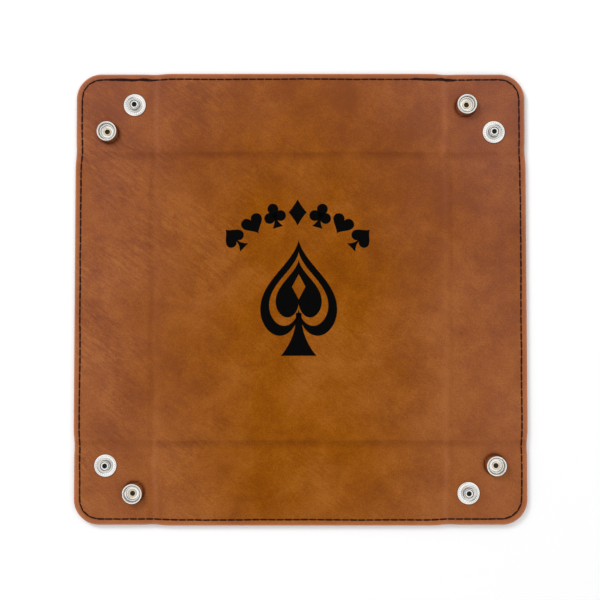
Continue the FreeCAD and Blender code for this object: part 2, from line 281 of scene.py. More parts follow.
def leatherette(name, tints, gloss, grain_depth):
    """Clouds, blotches, specks and wrinkles added in shares, lowered a little towards the back as painted
    shade, and read as three tints, then a painted sheen and the mesh's painted value of rubbing, sheen and
    shade over them, and last the grain and wrinkle bumps."""
    finish, tree, shader, place = new_finish(name)
    clouds = noise(tree, place, *CLOUDS)
    across = vector_maths(tree, "DOT_PRODUCT", place, (1, 0, 0))
    ahead = vector_maths(tree, "DOT_PRODUCT", place, TO_THE_BACK)
    slant = add_node(tree, "ShaderNodeVectorRotate", {"Vector": place, "Angle": WRINKLE_TURN},
                     rotation_type="Z_AXIS").outputs[0]
    wrinkles = noise(tree, vector_maths(tree, "MULTIPLY", slant, WRINKLE_STRETCH), *WRINKLES)
    handled = maths(tree, "MULTIPLY", spread(tree, noise(tree, place, *HANDLING), 0.4, 0.6, 0.1, 1),
                    spread(tree, across, -110, 70, 1, 0.25))
    crinkles = maths(tree, "MULTIPLY", spread(tree, wrinkles, 0.2, 0.8, -0.5, 0.5), handled)
    mix = maths(tree, "MULTIPLY_ADD", clouds, CLOUD_SHARE,
                maths(tree, "MULTIPLY", noise(tree, place, *BLOTCHES), BLOTCH_SHARE))
    mix = maths(tree, "MULTIPLY_ADD", noise(tree, place, *SPECKS), SPECK_SHARE, mix)
    mix = maths(tree, "MULTIPLY_ADD", crinkles, CRINKLE_SHARE, mix)
    # Lowering the sum from the front to the back makes the skin darker towards the back: painted shade.
    mix = maths(tree, "ADD", mix, spread(tree, ahead, -70, 100, -0.425, -0.550))
    ramp = add_node(tree, "ShaderNodeValToRGB", {"Fac": mix})
    for stop, (place_on_ramp, tint) in enumerate(((0.30, tints["dark"]), (0.70, tints["light"]))):
        ramp.color_ramp.elements[stop].position = place_on_ramp
        ramp.color_ramp.elements[stop].color = (*tint, 1)
    ramp.color_ramp.elements.new(0.5).color = (*tints["middle"], 1)
    # The cool lightening towards the sides and the back is painted sheen, clouded a little by the clouds.
    reach = vector_maths(tree, "LENGTH", vector_maths(tree, "MULTIPLY", place, (1, 0.3, 0)))
    painted_sheen = maths(tree, "ADD", spread(tree, reach, 25, 100), spread(tree, clouds, 0.35, 0.65, -0.15, 0.15))
    painted_sheen = maths(tree, "ADD", painted_sheen, spread(tree, ahead, 40, 110, 0, 0.45))
    with_painted_sheen = mixed(tree, 1.0, ramp.outputs[0], (*tints["painted_sheen"], 1), "ADD")
    skin = mixed(tree, spread(tree, painted_sheen, 0.0, 1.5), ramp.outputs[0], with_painted_sheen)
    # The mesh's painted value mixes in a pale tint for rubbed film with painted sheen and highlight, and a dark
    # tint for painted shade.
    wear_and_painted_light = add_node(tree, "ShaderNodeAttribute", attribute_name="wear_and_painted_light").outputs["Fac"]
    skin = mixed(tree, spread(tree, wear_and_painted_light, 0, 1), skin, (*tints["rubbed_and_lit"], 1))
    skin = mixed(tree, spread(tree, wear_and_painted_light, 0, -1), skin, (*tints["crease"], 1))
    tree.links.new(skin, shader.inputs["Base Color"])
    shader.inputs["Roughness"].default_value = gloss
    shader.inputs["Specular IOR Level"].default_value = 0.05
    pebbles = add_node(tree, "ShaderNodeTexVoronoi", {"Vector": place, "Scale": PEBBLE_SCALE},
                       feature="SMOOTH_F1")
    bumps = raised(tree, pebbles.outputs["Distance"], grain_depth)
    bumps = raised(tree, noise(tree, place, *PORES), 2.2 * grain_depth, bumps)
    bumps = raised(tree, crinkles, 6.0 * grain_depth, bumps)
    tree.links.new(bumps, shader.inputs["Normal"])
    return finish


# The last three tints paint light and shade: a cool painted sheen, a pale tint for rubbed film with painted sheen
# and highlight, and a dark tint for painted shade in the creases and painted shadow round the sockets.
FACE_TINTS = {"dark": (0.172, 0.0412, 0.0002), "middle": (0.234, 0.0628, 0.0004),
              "light": (0.295, 0.0912, 0.0069), "painted_sheen": (0.020, 0.0180, 0.0340),
              "rubbed_and_lit": (0.50, 0.19, 0.095), "crease": (0.060, 0.0080, 0.0005)}
BACK_TINTS = {use: tuple(0.8 * channel for channel in tint) for use, tint in FACE_TINTS.items()}
face_finish = leatherette("tan_leatherette", FACE_TINTS, 0.30, 0.00007)
back_finish = leatherette("tan_leatherette_back", BACK_TINTS, 0.52, 0.00005)
print("leatherette:", len(face_finish.node_tree.nodes), "nodes")

# %% [markdown]
# ## Thread, nickel, print and board
# The thread is dark waxed polyester, almost black, with a slight red in it. The studs are nickel plated
# and tumbled, so they are bright with faint soft scratches. Their grooves get a dark nickel, and the insides
# of the rivets a near black, both painted shade. The print is a flat black ink. The boards can't be
# seen in a finished tray and get a plain grey card.
# %% Other finishes
def plain_finish(name, tint, gloss, metal=0.0, grain=(1.0, 0.00001), variation=0.1, shine=0.5):
    """One tint, clouded lighter and darker by its variation, and a fine noise bump of (scale, depth)."""
    finish, tree, shader, place = new_finish(name)
    dark = tuple(channel * (1 - variation) for channel in tint)
    light = tuple(min(1, channel * (1 + variation)) for channel in tint)
    cloud = spread(tree, noise(tree, place, grain[0] / 3, 4.0), 0.35, 0.65)
    tree.links.new(mixed(tree, cloud, (*dark, 1), (*light, 1)), shader.inputs["Base Color"])
    tree.links.new(raised(tree, noise(tree, place, grain[0], 4.0), grain[1]), shader.inputs["Normal"])
    shader.inputs["Roughness"].default_value = gloss
    shader.inputs["Metallic"].default_value = metal
    shader.inputs["Specular IOR Level"].default_value = shine
    return finish


thread_finish = plain_finish("dark_waxed_thread", (0.016, 0.0030, 0.0022), 0.6, 0, (3.0, 0.00008), 0.4, 0.12)
nickel_finish = plain_finish("bright_nickel", (0.84, 0.83, 0.80), 0.16, 1, (1.2, 0.000012), 0.04)
warm_finish = plain_finish("nickel_worn_to_brass", (0.80, 0.66, 0.46), 0.30, 1, (1.2, 0.00002), 0.12)
# The grooves of the snaps get this dark nickel as painted shade.
groove_shade_finish = plain_finish("nickel_in_painted_shade", (0.30, 0.29, 0.275), 0.35, 1, (1.2, 0.00002), 0.15)
# The insides of the rivets get this near black as painted shade.
bore_shade_finish = plain_finish("painted_shade_rivet_bore", (0.02, 0.018, 0.016), 0.6, 0, (1.5, 0.00002), 0.3, 0.2)
print_finish = plain_finish("black_print", (0.0006, 0.0006, 0.0006), 0.8, 0, (2.0, 0.00001), 0.3, 0.05)
card_finish = plain_finish("grey_card", (0.30, 0.30, 0.30), 0.9, 0, (0.8, 0.00003), 0.1, 0.2)
for node in frame["record"]["subparts"]:
    if node["material_slot"] == "board":
        board = frame["nodes"][node["node"]]
        board.data.materials.clear()
        board.data.materials.append(card_finish)
print(len(bpy.data.materials), "finishes are in the file")

# %% [markdown]
# ## The shape of the leather
# The sheet is thickest over the boards and steps down to two bare layers at the border and the corner
# flaps. The press that shaped it left soft slopes, a shallow dip at each crease, a groove where the thread
# pulls the layers together, and a rolled edge. One height rule covers the whole tray, so that neighbouring
# pieces meet without a step: every piece asks it for the height at its own points.
# %% Plan of the outline
DRAWN_IN = 0.22


def outline_reach(across):
    """How far the outer edge lies from the middle of the tray: a little further at a wall than at a flap,
    and drawn in a little more where a crease meets the edge."""
    across = np.abs(across)
    drawn_in = DRAWN_IN * bell(across, CREASE, 5.0) * (across < ROUND_CENTRE)
    return EDGE - (EDGE - FLAP_REACH) * smooth(CREASE - 6, CREASE + 3, across) - drawn_in


def edge_distance(x, y):
    """Distance inward from the outer edge: from a straight side, or at a corner from its round."""
    far, near = np.maximum(abs(x), abs(y)), np.minimum(abs(x), abs(y))
    rounded = CORNER_RADIUS - np.hypot(far - ROUND_CENTRE, near - ROUND_CENTRE)
    return np.where(near > ROUND_CENTRE, rounded, outline_reach(near) - far)


print("reach of a wall", outline_reach(0.0), "and of a flap", outline_reach(90.0))

# %% Height of the leather
BORDER_SLOPE = (3.0, 8.5)
SEAM_INSET = 2.85
SEAM_DEPTH = 0.17
CREASE_DIP = 0.34
EDGE_ROLL = 0.9
EDGE_ROLL_DEPTH = 0.38
DIMPLE_RADIUS = 6.2
DIMPLE_DEPTH = 0.10
RIDGE_HEIGHT = 0.11
STEP_DEPTH = 0.13
WAVE_HEIGHT = 0.05
# The two creases pressed across the sheet along X: where each one lies, and the seed of its wander.
CROSS_LINES = ((CREASE + 1.2, 5), (-CREASE + 1.4, 6))


def panel_rise(x, y):
    """1 over a board and 0 at the border and flaps, with soft slopes, and a dip at each crease."""
    far, near = np.maximum(abs(x), abs(y)), np.minimum(abs(x), abs(y))
    border = smooth(*BORDER_SLOPE, edge_distance(x, y))
    flap = smooth(-1.5, 1.5, far - CREASE) * (1 - smooth(-1.5, 7.5, FLAP_CREASE - near))
    return border * (1 - flap) * (1 - CREASE_DIP * bell(far, CREASE, 2.4))


def edge_drop(x, y):
    """How far the rolled edge and the sewn groove lie below the border: a quarter round, and a bell."""
    inward = edge_distance(x, y)
    roll = 1 - np.sqrt(1 - np.clip(1 - inward / EDGE_ROLL, 0, 1) ** 2)
    return EDGE_ROLL_DEPTH * roll + SEAM_DEPTH * bell(inward, SEAM_INSET, 0.55)


def stud_dimples(x, y):
    """The leather pulled down round each press stud: a bell round a ring just outside its flange."""
    rings = [bell(np.hypot(x - cx, y - cy), DIMPLE_RADIUS, 1.3) for cx, cy in (*SOCKETS, *STUDS)]
    return DIMPLE_DEPTH * sum(rings)


def wandering_out(x, y):
    """How far a point lies from the tray's middle across, give or take the wander of a ridge along Y."""
    return abs(x) + 0.5 * drift(y, 60, 3)


def before_line(x, y, line, seed):
    """How far a point lies in front of a crease line along X that wanders a little."""
    return line + 0.3 * drift(x, 70, seed) - y


def cross_creases(x, y):
    """The creases pressed right across the sheet: low ridges along Y, and small steps down along X."""
    ridge = RIDGE_HEIGHT * bell(wandering_out(x, y), CREASE + 0.2, 1.2)
    step = 0
    for line, seed in CROSS_LINES:
        before = before_line(x, y, line, seed)
        step = step + smooth(-0.4, 1.6, before) * (1 - smooth(1.6, 6.5, before))
    return ridge - STEP_DEPTH * step


def soft_waves(x, y):
    """Hand-made unevenness: nine long sine waves of seeded direction, length and phase."""
    chance = np.random.default_rng(11)
    total = np.zeros_like(x, float)
    for heading, length, phase in chance.uniform((0, 14, 0), (np.pi, 45, 2 * np.pi), (9, 3)):
        total += np.sin(2 * np.pi * (x * np.cos(heading) + y * np.sin(heading)) / length + phase)
    return total / 9


def face_height(x, y):
    """The upper surface: border height, plus the rise over boards, creases and waves, less the edge drop."""
    inward = edge_distance(x, y)
    height = FLAP_TOP + (PANEL_TOP - FLAP_TOP) * panel_rise(x, y) - edge_drop(x, y) - stud_dimples(x, y)
    height = height + cross_creases(x, y) * smooth(0, 5, inward)
    return height + WAVE_HEIGHT * smooth(0, 8, inward) * soft_waves(x, y)


def back_height(x, y):
    """The lower surface: the same slopes turned down, so that the boards' panels rest on the table."""
    return FLAP_LOW * (1 - panel_rise(x, y)) + edge_drop(x, y) + 0.6 * stud_dimples(x, y)


EDGE_RUB_AND_SHEEN, BORDER_RUB_AND_SHEEN = 0.50, 0.19
# How dark the ring of painted contact shadow under each socket's rim is, and where its middle lies, as a
# share of the socket's distance from the middle of the tray.
PAINTED_SOCKET_SHADOW, PAINTED_SOCKET_SHADOW_PLACE = 0.95, 0.993


def wear_and_painted_light_at(x, y):
    """Above 0 where the skin is lighter: worn pale by rubbing and given a painted sheen at the rolled edge
    and border, and a painted highlight along the ridges. Below 0 where it is darker: painted shade in the
    creases and a ring of painted contact shadow round each socket."""
    inward = edge_distance(x, y)
    # The rolled edge and the border are worn pale by rubbing and lit with a painted sheen.
    pale = EDGE_RUB_AND_SHEEN * (1 - smooth(0.2, 1.1, inward)) + BORDER_RUB_AND_SHEEN * (1 - smooth(1.8, 2.8, inward))
    on_flap = smooth(CREASE - 3, CREASE + 4, abs(y))
    # A painted highlight along each crease's ridge, and a faint line of painted shade just outside it.
    ridge = (0.03 + 0.09 * on_flap) * bell(wandering_out(x, y), CREASE, 1.5)
    dark = 0.13 * bell(wandering_out(x, y), CREASE + 2.8, 1.0) * (1 - 0.7 * on_flap)
    # Painted shade on the small steps of the creases pressed across the sheet.
    for line, seed in CROSS_LINES:
        before = before_line(x, y, line, seed)
        share = (0.22 + 0.09 * drift(x, 45, seed + 20)) * (1 - 0.5 * smooth(60, 90, abs(x)))
        dark = dark + share * smooth(-0.5, 0.7, before) * (1 - smooth(1.6, 5.2, before))
    # A ring of painted contact shadow under each socket's rim, moved a little towards the tray's middle.
    for cx, cy in SOCKETS:
        dark = dark + PAINTED_SOCKET_SHADOW * bell(np.hypot(x - PAINTED_SOCKET_SHADOW_PLACE * cx, y - PAINTED_SOCKET_SHADOW_PLACE * cy), 5.0, 0.75)
    return np.clip(pale + ridge - dark, -1, 1)


spots = np.array([0.0, 73.0, 90.0, 111.6, 114.2])
print("height along the right wall's middle:", face_height(spots, 0 * spots).round(2))

# %% [markdown]
# ## Dividing the sheets
# On the real tray each sheet is one square of leatherette. The floor keeps the small squares at the
# inner corners. A wall starts just inside its crease. A socket flap bends from its wall, and a stud
# flap bends over the diagonal from the socket flap. Grid lines are close together at the bends and at
# the rolled edge, and wide elsewhere.
# %% Grids of the five kinds of panel
BEND = 2.0
DIAGONAL_BEND = 3.0
WALL_START = CREASE - BEND
FLAP_START = FLAP_CREASE - BEND
SLANT = DIAGONAL_BEND * math.sqrt(2)
LONG_REACH = (SLANT + math.sqrt(2 * CORNER_RADIUS**2 - SLANT**2)) / 2
# How far apart grid lines are over a board, and where the closer rows of a wall's border and of its rolled
# edge start.
WIDE = 1.25
BORDER_ROW, ROLL_ROW = 107.5, 113.2


def round_reach(along):
    """How far the flap's rounded outline reaches across, at a distance along from the tray's middle."""
    return ROUND_CENTRE + np.sqrt(CORNER_RADIUS**2 - np.clip(along - ROUND_CENTRE, 0, CORNER_RADIUS) ** 2)


def round_lines(meeting):
    """Grid lines through the corner's round: its radius times the sine of even angles, one of them at
    meeting."""
    angle = math.asin(meeting / CORNER_RADIUS)
    angles = ruled((0, angle, 0.09), (angle, math.pi / 2, 0.06))[1:]
    return ROUND_CENTRE + CORNER_RADIUS * np.sin(angles)


def floor_plan():
    """A square as large as the creases, less the strips that the four walls take."""
    half = ruled((0, FLAP_START, WIDE), (FLAP_START, FLAP_CREASE, 0.5), (FLAP_CREASE, WALL_START, 0.5),
                 (WALL_START, CREASE, 0.4))
    lines = np.concatenate([-half[:0:-1], half])
    plan = np.stack(np.meshgrid(lines, lines, indexing="ij"), -1)
    faces = quads_of(len(lines), len(lines))
    middles = plan.reshape(-1, 2)[faces].mean(1)
    taken = np.zeros(len(faces), bool)
    for quarter in range(4):
        p, q = turned(middles, -quarter).T
        taken |= (p > WALL_START) & (q > -FLAP_START) & (q < FLAP_CREASE)
    return plan, faces[~taken]


def wall_plan():
    """Rows from just inside the crease to the outer edge, and columns from one flap crease to the other."""
    rows = ruled((WALL_START, CREASE + BEND, 0.4), (CREASE + BEND, BORDER_ROW, WIDE),
                 (BORDER_ROW, ROLL_ROW, 0.4), (ROLL_ROW, EDGE, 0.14))
    columns = ruled((-FLAP_START, -62, 0.6), (-62, 62, WIDE), (62, FLAP_CREASE, 0.6))
    share = (rows - WALL_START) / (EDGE - WALL_START)
    p = WALL_START + share[:, None] * (outline_reach(columns) - WALL_START)[None, :]
    return np.stack([p, np.broadcast_to(columns, p.shape)], -1), quads_of(len(rows), len(columns))


def flap_plan(start, reach, meeting, extra):
    """Rows out from the crease to the rounded edge; each row's columns are shares of its reach across."""
    rows = np.concatenate([ruled((CREASE, CREASE + 2, 0.5), (CREASE + 2, CREASE + extra, 0.75),
                                 (CREASE + extra, ROUND_CENTRE, 1.1)), round_lines(meeting)])
    shares = ruled((0, 0.1, 0.013), (0.1, 0.9, 0.026), (0.9, 0.97, 0.012), (0.97, 1, 0.004))
    across = start + shares[None, :] * (reach(rows) - start)[:, None]
    stretch = (outline_reach(across) - CREASE) / (FLAP_REACH - CREASE)
    out = CREASE + (rows[:, None] - CREASE) * stretch
    return out, across, quads_of(*out.shape)


def socket_flap_plan():
    """The half of the corner next to the wall, up to just short of the diagonal crease."""
    def reach(rows):
        return np.minimum(np.maximum(rows - SLANT, CREASE), round_reach(rows))
    out, across, faces = flap_plan(FLAP_START, reach, LONG_REACH, SLANT)
    return np.stack([out, -across], -1), faces


def stud_flap_plan():
    """The other half of the corner, with the whole of the diagonal crease."""
    def reach(rows):
        return np.minimum(rows + SLANT, round_reach(rows))
    out, across, faces = flap_plan(FLAP_CREASE, reach, LONG_REACH - SLANT, SLANT)
    return np.stack([across, -out], -1), faces


for plan_of in (floor_plan, wall_plan, socket_flap_plan, stud_flap_plan):
    plan, faces = plan_of()
    points = plan.reshape(-1, 2)
    print(plan_of.__name__, points.min(0).round(1), points.max(0).round(1), len(faces))

# %% [markdown]
# ## Making a leather piece
# Each piece is an open surface at the right height, with a thickness of one sheet added by Solidify on its
# inner side. Where a rivet goes through, the cells round its centre are left out and the hole's rim is
# moved onto a circle, which the stud's flange covers. The border of the open surface is marked sharp, so
# the shading of the skin isn't pulled round the cut edge.
# %% Leather pieces
RIVET_HOLE = 2.0


def punched(plan, faces):
    """Leaves out the faces round each rivet and moves the rim of each hole onto a circle."""
    points = plan.reshape(-1, 2).copy()
    for centre in (*SOCKETS, *STUDS):
        inside = np.hypot(*(points[faces].mean(1) - centre).T) < RIVET_HOLE
        rim = np.intersect1d(faces[inside], faces[~inside])
        away = points[rim] - centre
        points[rim] = centre + RIVET_HOLE * away / np.hypot(*away.T)[:, None]
        faces = faces[~inside]
    return points, faces


def plan_area(points, faces):
    """Area of each quad seen from above, half the cross product of its diagonals, added up."""
    a, b, c, d = points[faces].transpose(1, 0, 2)
    return 0.5 * ((c - a)[:, 0] * (d - b)[:, 1] - (c - a)[:, 1] * (d - b)[:, 0]).sum()


def leather_piece(name, plan, faces, upper):
    """A sheet of leather over a plan: faces up for the face, down for the back, thickened inwards."""
    points, faces = punched(plan, faces)
    used, numbers = np.unique(faces, return_inverse=True)
    points, faces = points[used], numbers.reshape(faces.shape)
    area = plan_area(points, faces)
    if (area > 0) != upper:
        faces = faces[:, ::-1]
    x, y = points.T
    height = face_height(x, y) if upper else back_height(x, y)
    piece = make_piece(name, np.column_stack([x, y, height]), faces, face_finish if upper else back_finish)
    mesh = piece.data
    wear_and_painted_light = mesh.attributes.new("wear_and_painted_light", "FLOAT", "POINT")
    wear_and_painted_light.data.foreach_set("value", wear_and_painted_light_at(x, y).astype(np.float32))
    edges = np.sort(np.stack([faces, np.roll(faces, -1, 1)], -1).reshape(-1, 2), 1)
    pairs, times = np.unique(edges, axis=0, return_counts=True)
    border = {tuple(pair) for pair in pairs[times == 1]}
    sharp = mesh.attributes.new("sharp_edge", "BOOLEAN", "EDGE")
    sharp.data.foreach_set("value", [tuple(sorted(edge.vertices)) in border for edge in mesh.edges])
    skin = piece.modifiers.new("sheet_thickness", "SOLIDIFY")
    skin.thickness, skin.offset = SHEET * MM, -1
    return piece, np.ptp(points, axis=0), abs(area)


# Two points for each kind of flap, one on each side of its crease.
HALF_BEND = DIAGONAL_BEND / math.sqrt(2)
SOCKET_FLAP_BEND = ((EDGE, -FLAP_START), (EDGE, -FLAP_CREASE - BEND))
STUD_FLAP_BEND = ((ROUND_CENTRE + HALF_BEND, -ROUND_CENTRE + HALF_BEND),
                  (ROUND_CENTRE - HALF_BEND, -ROUND_CENTRE - HALF_BEND))


def bend(piece):
    """Bakes the piece's transform into its mesh."""
    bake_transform(piece)


print("the plan's height rule gives", face_height(0.0, 0.0), "at the middle")

# %% Floor and walls
sheets = []
for upper, layer in ((True, "leather"), (False, "lining")):
    node = "face" if upper else "back"
    plan, faces = floor_plan()
    piece, size, area = leather_piece(f"floor_{layer}", plan, faces, upper)
    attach(piece, "floor")
    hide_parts(f"floor_{node}")
    sheets.append(piece)
    for quarter, side in enumerate(SIDES):
        plan, faces = wall_plan()
        piece, size, area = leather_piece(f"{side}_wall_{layer}", turned(plan, quarter), faces, upper)
        bend(piece)
        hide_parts(f"{side}_wall_{node}")
        sheets.append(piece)
print("floor and walls:", [piece.name for piece in sheets])

# %% Corner flaps
for upper, layer in ((False, "lining"), (True, "leather")):
    node = "face" if upper else "back"
    for quarter, (side, corner) in enumerate(zip(SIDES, CORNERS)):
        kinds = (("socket_flap", socket_flap_plan, f"{side}_wall", SOCKET_FLAP_BEND, "socket_cap"),
                 ("stud_flap", stud_flap_plan, f"{corner}_socket_flap", STUD_FLAP_BEND, "stud_post"))
        for kind, plan_of, body, over, head in kinds:
            plan, faces = plan_of()
            piece, size, area = leather_piece(f"{corner}_{kind}_{layer}", turned(plan, quarter), faces, upper)
            bend(piece)
            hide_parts(f"{corner}_{kind}_{node}")
            sheets.append(piece)
print(len(sheets), "sheets,", sum(len(piece.data.polygons) for piece in sheets), "faces")

# %% [markdown]
# ## Stitches
# The edge is sewn by machine: a dark thread shows as short dashes about 4 mm apart, with a small gap at
# each needle hole, and as straight chords round the corners. A painted line would do from afar, but thread
# stands proud and catches the light, so each stitch is its own small capsule. Its ends dip into the holes
# and its line wanders a little, as a hand-guided seam does. Two runs on the back edge are sewn over again
# to lock the thread, and are thicker and uneven.
# %% Where the needle goes
STITCH_PITCH = 4.1
SEAM_RADIUS = CORNER_RADIUS - SEAM_INSET
STRAIGHT = 2 * ROUND_CENTRE
ROUND_LENGTH = SEAM_RADIUS * math.pi / 2


def seam_point(along, aside):
    """A point at a length along the seam, clockwise from the right side's back end, moved inwards by aside.
    Each quarter is a straight run down its side and then, at its far end, a round of a quarter turn."""
    quarter, rest = np.divmod(along, STRAIGHT + ROUND_LENGTH)
    straight = rest < STRAIGHT
    angle = np.clip(rest - STRAIGHT, 0, ROUND_LENGTH) / SEAM_RADIUS
    across = np.where(straight, ROUND_CENTRE - rest, -ROUND_CENTRE)
    reach = outline_reach(across) - SEAM_INSET - aside
    radius = SEAM_RADIUS - aside
    p = np.where(straight, reach, ROUND_CENTRE + radius * np.cos(angle))
    q = np.where(straight, across, -ROUND_CENTRE - radius * np.sin(angle))
    for count in range(1, 4):
        past = quarter >= count
        p, q = np.where(past, q, p), np.where(past, -p, q)
    return np.stack([p, q], -1)


seam_length = 4 * (STRAIGHT + ROUND_LENGTH)
stitch_count = round(seam_length / STITCH_PITCH)
chance = np.random.default_rng(21)
along = np.arange(stitch_count) * seam_length / stitch_count
aside = 0.14 * drift(along, seam_length / 9, 4) + chance.normal(0, 0.05, stitch_count)
holes = seam_point(along, aside)
print(stitch_count, "stitches,", round(seam_length / stitch_count, 3), "mm apart")


# %% Stitch shapes
AROUND = 8
LENGTHWISE = np.array([0.0, 0.04, 0.16, 0.5, 0.84, 0.96, 1.0])
STITCH_RISE = 0.14
HOLE_DIP = 0.16
FLATNESS = 0.62


def stitches(starts, ends, thick, gap, upper):
    """Capsules from start to end less half a gap at each end: an oval section whose size falls almost to
    nothing at the ends by the root of 1 - (2t - 1)^6, on a line that dips into the holes."""
    run = ends - starts
    length = np.hypot(*run.T)[:, None]
    heading = run / length
    trim = gap / 2 / length
    t = LENGTHWISE[None, :]
    share = trim + t * (1 - 2 * trim)
    line = starts[:, None] + share[..., None] * run[:, None]
    swell = np.sqrt(np.clip(1 - (2 * t - 1) ** 6, 0.004, 1)) * thick[:, None]
    skin = face_height(line[..., 0], line[..., 1]) if upper else back_height(line[..., 0], line[..., 1])
    outward = 1 if upper else -1
    middle_line = skin + outward * (STITCH_RISE - HOLE_DIP * np.abs(2 * t - 1) ** 9)
    angle = np.arange(AROUND) * 2 * np.pi / AROUND
    aside = np.stack([-heading[:, 1], heading[:, 0]], -1)
    plan = line[:, :, None] + aside[:, None, None] * (swell[..., None] * np.cos(angle))[..., None]
    z = middle_line[..., None] + FLATNESS * swell[..., None] * np.sin(angle)
    return np.concatenate([plan, z[..., None]], -1)


def stitch_faces(number):
    """Quads along each capsule and one eight-sided face at each of its ends."""
    rings = len(LENGTHWISE)
    tube = quads_of(rings, AROUND, close_columns=True)
    offsets = np.arange(number) * rings * AROUND
    quads = (tube[None] + offsets[:, None, None]).reshape(-1, 4)
    first = offsets[:, None] + np.arange(AROUND)[None, :]
    last = offsets[:, None] + (rings - 1) * AROUND + np.arange(AROUND)[None, ::-1]
    return quads.tolist() + first.tolist() + last.tolist()


print(len(LENGTHWISE) * AROUND, "points a stitch")

# %% [markdown]
# ## Dividing the thread
# The thread bends with the leather it holds, so the stitches are shared out over the same panels as the leather.
# %% Sharing out the stitches
def panel_of(points):
    """The panel that each point is on, by the same borders as the leather pieces."""
    names = np.full(len(points), "floor", dtype=object)
    for quarter, (side, corner) in enumerate(zip(SIDES, CORNERS)):
        p, q = turned(points, -quarter).T
        names[(p > WALL_START) & (q > -FLAP_START) & (q < FLAP_CREASE)] = f"{side}_wall"
        names[(p > CREASE) & (-q > FLAP_START) & (-q <= p - SLANT)] = f"{corner}_socket_flap"
        names[(-q > CREASE) & (p > FLAP_CREASE) & (p < -q + SLANT)] = f"{corner}_stud_flap"
    return names


print("a stitch in the middle of the right edge is on the", panel_of(np.array([[110.0, 0.0]]))[0])

# %% Every stitch
THREAD_HALF, BACKTACK_HALF = 0.40, 0.52
STRAIGHT_GAP, CORNER_GAP, BACKTACK_GAP = 0.10, -0.15, -0.3
BACKTACK_PITCH = 3.1
# Each run that locks the thread: where it starts and ends along the back edge, and the seed of its wander.
BACKTACKS = ((-97.0, -73.0, 31), (57.0, 79.0, 32))

starts, ends = holes, np.roll(holes, -1, 0)
thick = THREAD_HALF + chance.normal(0, 0.02, stitch_count)
gap = np.full((stitch_count, 1), STRAIGHT_GAP)
near_a_corner = np.minimum(*abs(starts).T) > ROUND_CENTRE - 12
gap[near_a_corner] = CORNER_GAP
for first, last, seed in BACKTACKS:
    for layer in range(3):
        x = np.arange(first + layer, last, BACKTACK_PITCH)
        x = x + chance.normal(0, 0.25, len(x))
        y = outline_reach(x) - SEAM_INSET + 0.30 * drift(x, 14, seed) + chance.normal(0, 0.14, len(x))
        line = np.stack([x, y], -1)
        starts, ends = np.vstack([starts, line[:-1]]), np.vstack([ends, line[1:]])
        thick = np.append(thick, BACKTACK_HALF + chance.normal(0, 0.05, len(x) - 1))
        gap = np.vstack([gap, np.full((len(x) - 1, 1), BACKTACK_GAP)])
owners = panel_of((starts + ends) / 2)
print({name: int((owners == name).sum()) for name in sorted(set(owners))})

# %% Sewing
def sew(panel):
    """The stitches of one panel, above and below, as one piece."""
    mine = owners == panel
    runs = starts[mine], ends[mine], thick[mine], gap[mine]
    tops, undersides = stitches(*runs, True), stitches(*runs, False)
    piece = make_piece(f"{panel}_stitches", np.concatenate([tops, undersides]),
                       stitch_faces(2 * int(mine.sum())), thread_finish)
    bend(piece)
    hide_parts(f"{panel}_stitching")
    return piece


thread = []
for quarter, (side, corner) in enumerate(zip(SIDES, CORNERS)):
    thread.append(sew(f"{side}_wall"))
    thread.append(sew(f"{corner}_socket_flap"))
    thread.append(sew(f"{corner}_stud_flap"))
print("thread faces:", sum(len(piece.data.polygons) for piece in thread))

# %% [markdown]
# ## Press studs
# Each stud half is turned or pressed from sheet metal, so it is a surface of revolution: a profile of
# radius and height carried round the axis. The corners of a pressed part are rounded, so the profile is
# drawn with sharp corners and then softened by averaging along it. The stud half has a flange with a ring
# of small dimples, a conical dish and a hollow nipple, and the lip of its post shows inside. The socket
# half is a cup with a rolled rim, a wire spring, and the lip of its cap's rivet in the middle.
# %% Turning a profile
def softened(corners, loop, step=0.15, reach=2):
    """Points every step along the straight runs between corners, each averaged with its neighbours. A loop
    goes on past its ends; an open profile is mirrored at the axis, so that its ends stay on it."""
    corners = np.array(corners + corners[:1] if loop else corners, float)
    marks = np.append(0, np.cumsum(np.hypot(*np.diff(corners, axis=0).T)))
    number = max(8, round(marks[-1] / step))
    t = np.linspace(0, marks[-1], number, endpoint=not loop)
    line = np.stack([np.interp(t, marks, corners[:, 0]), np.interp(t, marks, corners[:, 1])], -1)
    if loop:
        longer = np.vstack([line[-reach:], line, line[:reach]])
    else:
        mirror = np.array([-1, 1])
        longer = np.vstack([line[reach:0:-1] * mirror, line, line[-2:-reach - 2:-1] * mirror])
    return sum(longer[k:k + number] for k in range(2 * reach + 1)) / (2 * reach + 1)


def with_poles(points, faces, around, poles):
    """A grid closed by triangles from its first ring to the first pole and from its last to the second."""
    first, last = np.arange(around), len(points) - around + np.arange(around)
    fans = [np.column_stack([np.full(around, len(points)), first, np.roll(first, -1)]),
            np.column_stack([np.full(around, len(points) + 1), np.roll(last, -1), last])]
    return np.vstack([points, poles]), faces + np.vstack(fans).tolist()


def revolved(profile, around, loop):
    """A profile of radius and height carried round Z. A loop gives a ring; an open one is closed at its
    two poles by triangles to one point on the axis."""
    angle = np.arange(around) * 2 * np.pi / around
    body = profile if loop else profile[1:-1]
    points = np.stack([body[:, :1] * np.cos(angle), body[:, :1] * np.sin(angle),
                       np.broadcast_to(body[:, 1:], (len(body), around))], -1)
    points = points.reshape(-1, 3)
    faces = quads_of(len(body), around, close_rows=loop, close_columns=True).tolist()
    if loop:
        return points, faces
    return with_poles(points, faces, around, [[0, 0, profile[0, 1]], [0, 0, profile[-1, 1]]])


def facing_out(points, faces):
    """The faces, turned round if the volume they enclose comes out negative."""
    fan = np.array([[f[0], f[k], f[k + 1]] for f in faces for k in range(1, len(f) - 1)])
    a, b, c = points[fan].transpose(1, 0, 2)
    return faces if np.einsum("ij,ij->i", a, np.cross(b, c)).sum() > 0 else [face[::-1] for face in faces]


print("a softened square has", len(softened([(1, 0), (2, 0), (2, 1), (1, 1)], True)), "points")

